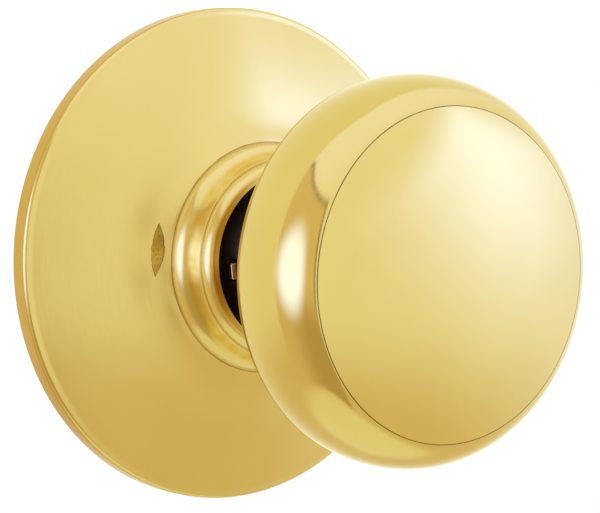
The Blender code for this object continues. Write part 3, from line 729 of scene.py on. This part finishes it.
def make_screw(node, z):
    """A pan-head machine screw with a cross recess and a rolled thread."""
    segments = 40
    turns = [math.tau * j / segments for j in range(segments)]
    bm = bmesh.new()

    def ring_of(radii, front):
        return [bm.verts.new((radius * math.cos(angle), -front, z + radius * math.sin(angle)))
                for radius, angle in zip(radii, turns)]

    rings = []
    for radius, front in rounded(SCREW_HEAD + [NECK_END], 0.3)[:-1] + [NECK_END]:
        if radius == 0:
            rings.append([bm.verts.new((0, -front, z))] * segments)
        else:
            rings.append(ring_of([radius] * segments, front))
    rows = int((THREAD_START - SCREW_REAR) / THREAD_PITCH * THREAD_ROWS)
    tapered = 2 * THREAD_ROWS
    for i in range(rows + 1):
        front = THREAD_START + (SCREW_REAR - THREAD_START) * i / rows
        fade = min(1.0, i / THREAD_ROWS, (rows - i) / THREAD_ROWS + 0.2)
        taper = POINT_TAPER * max(0, i - rows + tapered) / tapered
        radii = []
        for j in range(segments):
            phase = (-front / THREAD_PITCH - j / segments) % 1.0
            tooth = 1.0 - abs(2 * phase - 1.0)
            groove = THREAD_DEPTH * fade * min(1.0, max(0.0, 1.25 * tooth - 0.12))
            radii.append(SHANK_RADIUS - groove - taper)
        rings.append(ring_of(radii, front))
    rings.append([bm.verts.new((0, -SCREW_REAR, z))] * segments)
    for one, other in zip(rings, rings[1:]):
        for j in range(segments):
            k = (j + 1) % segments
            bm.faces.new(list(dict.fromkeys((one[j], one[k], other[k], other[j]))))
    made = new_object(node + "_visual", bm)
    dressed(made, "fixed_half", node, [MATERIALS["zinc_flat"]])
    front, rear = RECESS_DEPTHS
    arms = [box_shape("arm", (-across, front, z - along), (across, rear, z + along))
            for across, along in ((RECESS_REACH, RECESS_HALF_WIDTH), (RECESS_HALF_WIDTH, RECESS_REACH))]
    return cut(made, arms, 50)


def make_springs():
    """The return spring round the sleeve, and the small coil behind the knob catch."""
    front, rear = RETURN_FRONTS
    start, winding = math.pi / 2 + RETURN_LEG_ANGLE, math.tau * RETURN_TURNS - 2 * RETURN_LEG_ANGLE
    steps = RETURN_TURNS * 64

    def at(radius, angle, depth):
        return (radius * math.cos(angle), -depth, radius * math.sin(angle))

    points = [at(RETURN_LEG_REACH, start, front)]
    points += [at(RETURN_RADIUS, start + winding * i / steps, front + (rear - front) * i / steps)
               for i in range(steps + 1)]
    points.append(at(RETURN_LEG_REACH, start + winding, rear))
    made = wire("return_spring_visual", points, RETURN_WIRE)
    dressed(made, "fixed_half", "return_spring", [MATERIALS["spring_steel"]])

    steps = 40
    first, last = COIL_ENDS
    turn = Matrix.Rotation(CATCH_TILT, 4, "Y")
    points = []
    for i in range(COIL_TURNS * steps + 1):
        angle = math.tau * i / steps
        share = i / (COIL_TURNS * steps)
        along = first + (last - first) * share
        around = (-COIL_FRONT + COIL_RADIUS * math.cos(angle), COIL_RADIUS * math.sin(angle))
        points.append(turn @ Vector((along, *around)))
    made = wire("knob_catch_spring_visual", points, COIL_WIRE)
    dressed(made, "knob", "knob_catch_spring", [MATERIALS["spring_steel"]])


def softened(node, body, material, bevel=0.12):
    """A piece with the CAD node's shape, its edges softened by bevel millimetres."""
    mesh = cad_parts[node].data.copy()
    mesh.materials.clear()
    made = bpy.data.objects.new(node + "_visual", mesh)
    bpy.context.collection.objects.link(made)
    weld = made.modifiers.new("weld", "WELD")
    weld.merge_threshold = 0.000002
    soften = made.modifiers.new("edges", "BEVEL")
    soften.width = bevel * MM
    soften.segments = 3
    soften.limit_method = "ANGLE"
    soften.angle_limit = math.radians(30)
    soften.harden_normals = True
    dressed(made, body, node, [MATERIALS[material]])


def make_inner_works():
    """The pieces whose CAD shape only needs softer edges."""
    softened("knob_catch", "knob_release", "catch_brass", 0.2)
    softened("rose_catch_spring", "fixed_half", "spring_steel", 0.08)
    softened("retaining_ring", "knob", "oiled_steel")
    softened("drive_bar_pin", "knob", "spring_steel", 0.2)
    softened("drive_bar", "knob", "zinc_flat", 0.2)
    softened("spring_driver", "knob", "cast_zinc", 0.25)
    softened("spindle_plug", "knob", "cast_zinc", 0.25)
    softened("knob_hub", "knob", "cast_zinc", 0.25)


# ---------------------------------------------------------------- studio

TENT = (1.11, 1.21, 1.14, 1.0)
TENT_TOP = (1.23, 1.37, 1.75, 1.0)
TENT_REAR = (1.07, 1.12, 0.90, 1.0)
TENT_LOW = (0.90, 0.82, 0.53, 1.0)
TENT_DEEP = (1.05, 1.12, 0.92, 1.0)
SCREEN_HIGH = (0.92, 0.82, 0.53, 1.0)
SCREEN_LOW = (0.64, 0.53, 0.27, 1.0)
SCREEN_FRAME = (0.45, 0.36, 0.20, 1.0)
GLOW = (1.50, 1.95, 4.3, 1.0)
PAPER_WHITE = (1.2, 1.2, 1.2, 1.0)

# Directions in degrees: side is counted from straight in front of the knob to the right, rise from level
TENT_SIDES = (-105.0, 112.0)
SCREEN_BOTTOM = -57.0
LEFT_LAMP = (-77.0, 2.0)
LEFT_LAMP_SIZE = (18.0, 15.0)
RIGHT_LAMP = (56.0, 20.0)
RIGHT_LAMP_SIZE = (24.0, 20.0)
RIGHT_LAMP_TOP = (50.0, 36.0)  # the peak of its upper edge, which falls away to both sides
RIGHT_LAMP_SLOPES = (-0.4, 0.6)


def make_world():
    """A pale tent with a soft lamp on each side and a dim screen on the left, seen in the metal only."""
    world = bpy.data.worlds.new("studio")
    bpy.context.scene.world = world
    world.use_nodes = True
    nodes = Nodes(world.node_tree)
    way = nodes.add("ShaderNodeTexCoord").outputs["Generated"]
    parts = nodes.add("ShaderNodeSeparateXYZ", {0: way}).outputs
    to_degrees = 180.0 / math.pi
    toward_front = nodes.math("MULTIPLY", parts["Y"], -1.0)
    side = nodes.math("MULTIPLY", nodes.math("ARCTAN2", parts["X"], toward_front), to_degrees)
    rise = nodes.math("MULTIPLY", nodes.math("ARCSINE", parts["Z"]), to_degrees)

    def past(angle, edge, soft):
        """0 well before the edge and 1 well past it."""
        return nodes.ramp(nodes.math("SUBTRACT", angle, edge), -soft, soft, 0.0, 1.0)

    def short_of(angle, edge, soft):
        """1 well before the edge and 0 well past it."""
        return nodes.math("SUBTRACT", 1.0, past(angle, edge, soft))

    def both(*masks):
        """The product of two or more masks."""
        product = masks[0]
        for mask in masks[1:]:
            product = nodes.math("MULTIPLY", product, mask)
        return product

    def scaled(angle, centre, reach):
        return nodes.math("DIVIDE", nodes.math("SUBTRACT", angle, centre), reach)

    def squared(value):
        return nodes.math("MULTIPLY", value, value)

    ahead = both(past(side, TENT_SIDES[0], 1.0), short_of(side, TENT_SIDES[1], 6.0))
    high = nodes.ramp(rise, 10.0, 65.0, 0.0, 1.0)
    colour = nodes.mix(ahead, TENT_REAR, nodes.mix(high, TENT, TENT_TOP))
    colour = nodes.mix(nodes.ramp(rise, -45.0, -12.0, 1.0, 0.0), colour, TENT_LOW)
    colour = nodes.mix(nodes.ramp(rise, -66.0, -52.0, 1.0, 0.0), colour, TENT_DEEP)

    right_edge = nodes.ramp(rise, -40.0, -8.0, -9.0, -21.0)
    top_edge = nodes.ramp(side, -97.0, -18.0, 56.0, 24.0, "LINEAR")
    shape = both(past(side, TENT_SIDES[0], 1.0), short_of(side, right_edge, 1.0),
                 short_of(rise, top_edge, 1.5), past(rise, SCREEN_BOTTOM, 2.0))
    dim = both(nodes.ramp(rise, -24.0, -6.0, 1.0, 0.0), nodes.ramp(side, -100.0, -45.0, 0.1, 1.0))
    screen = nodes.mix(dim, SCREEN_HIGH, SCREEN_LOW)
    from_right = nodes.math("MULTIPLY", nodes.math("SUBTRACT", right_edge, side), 0.55)
    inside = nodes.math("MINIMUM", from_right, nodes.math("SUBTRACT", top_edge, rise))
    frame_line = both(nodes.ramp(inside, 1.5, 4.0, 1.0, 0.0), past(rise, -14.0, 5.0))
    screen = nodes.mix(frame_line, screen, SCREEN_FRAME)
    colour = nodes.mix(shape, colour, screen)

    across = squared(scaled(side, LEFT_LAMP[0], LEFT_LAMP_SIZE[0]))
    upward = squared(scaled(rise, LEFT_LAMP[1], LEFT_LAMP_SIZE[1]))
    oval = nodes.math("SQRT", nodes.math("ADD", across, upward))
    colour = nodes.mix(nodes.ramp(oval, 0.8, 1.9, 1.0, 0.0), colour, GLOW)

    across = squared(scaled(side, RIGHT_LAMP[0], RIGHT_LAMP_SIZE[0]))
    below = nodes.math("MINIMUM", scaled(rise, RIGHT_LAMP[1], RIGHT_LAMP_SIZE[1]), 0.0)
    spread = nodes.math("ADD", across, squared(below))
    bright = nodes.math("POWER", math.e, nodes.math("MULTIPLY", spread, -0.5))
    peak, top = RIGHT_LAMP_TOP
    from_peak = nodes.math("SUBTRACT", side, peak)
    left_fall, right_fall = (nodes.math("MULTIPLY", from_peak, slope) for slope in RIGHT_LAMP_SLOPES)
    fall = nodes.math("MAXIMUM", right_fall, left_fall)
    lamp = both(bright, short_of(nodes.math("ADD", rise, fall), top, 7.0))
    colour = nodes.mix(lamp, colour, GLOW)

    in_metal = nodes.add("ShaderNodeLightPath").outputs["Is Glossy Ray"]
    background = world.node_tree.nodes["Background"]
    world.node_tree.links.new(nodes.mix(in_metal, PAPER_WHITE, colour), background.inputs["Color"])


def make_floor():
    """A plain pale floor well below the knob, kept out of its reflections."""
    size, drop = 30.0, -0.35
    mesh = bpy.data.meshes.new("floor")
    corners = [(-size, -size, drop), (size, -size, drop), (size, size, drop), (-size, size, drop)]
    mesh.from_pydata(corners, [], [(0, 1, 2, 3)])
    made = bpy.data.objects.new("floor", mesh)
    bpy.context.collection.objects.link(made)
    paper, nodes, shader, place = new_material("floor_paper", 0.0)
    tone = nodes.mix(nodes.noise(place, 40.0), (0.86, 0.86, 0.86, 1), (0.83, 0.83, 0.83, 1))
    paper.node_tree.links.new(tone, shader.inputs["Base Color"])
    shader.inputs["Roughness"].default_value = 0.9
    shader.inputs["Specular IOR Level"].default_value = 0.0
    made.data.materials.append(paper)
    made.visible_glossy = False


def make_camera():
    """The camera, placed round the knob by azimuth, elevation and distance and aimed by pan and tilt."""
    azimuth, elevation, distance = math.radians(35.13), math.radians(4.10), 0.45042
    pan, tilt, lens = math.radians(36.58), math.radians(-4.17), 182.1
    camera = bpy.data.objects.new("camera", bpy.data.cameras.new("camera"))
    bpy.context.collection.objects.link(camera)
    camera.data.sensor_width = 36.0
    camera.data.lens = lens
    camera.data.clip_start = 0.01
    outward = Vector((-math.sin(azimuth) * math.cos(elevation), -math.cos(azimuth) * math.cos(elevation),
                      math.sin(elevation)))
    camera.location = outward * distance
    ahead = Vector((math.sin(pan) * math.cos(tilt), math.cos(pan) * math.cos(tilt), math.sin(tilt)))
    camera.rotation_mode = "QUATERNION"
    camera.rotation_quaternion = ahead.to_track_quat("-Z", "Y")
    bpy.context.scene.camera = camera


make_rose()
make_rose_catch()
make_knob()
make_sleeve()
make_plate()
make_housing()
make_bronze_rings()
make_rivets()
make_screw("mounting_screw_upper", SCREW_OFFSET)
make_screw("mounting_screw_lower", -SCREW_OFFSET)
make_springs()
make_inner_works()
make_world()
make_floor()
make_camera()
bpy.context.scene.view_settings.view_transform = "Standard"
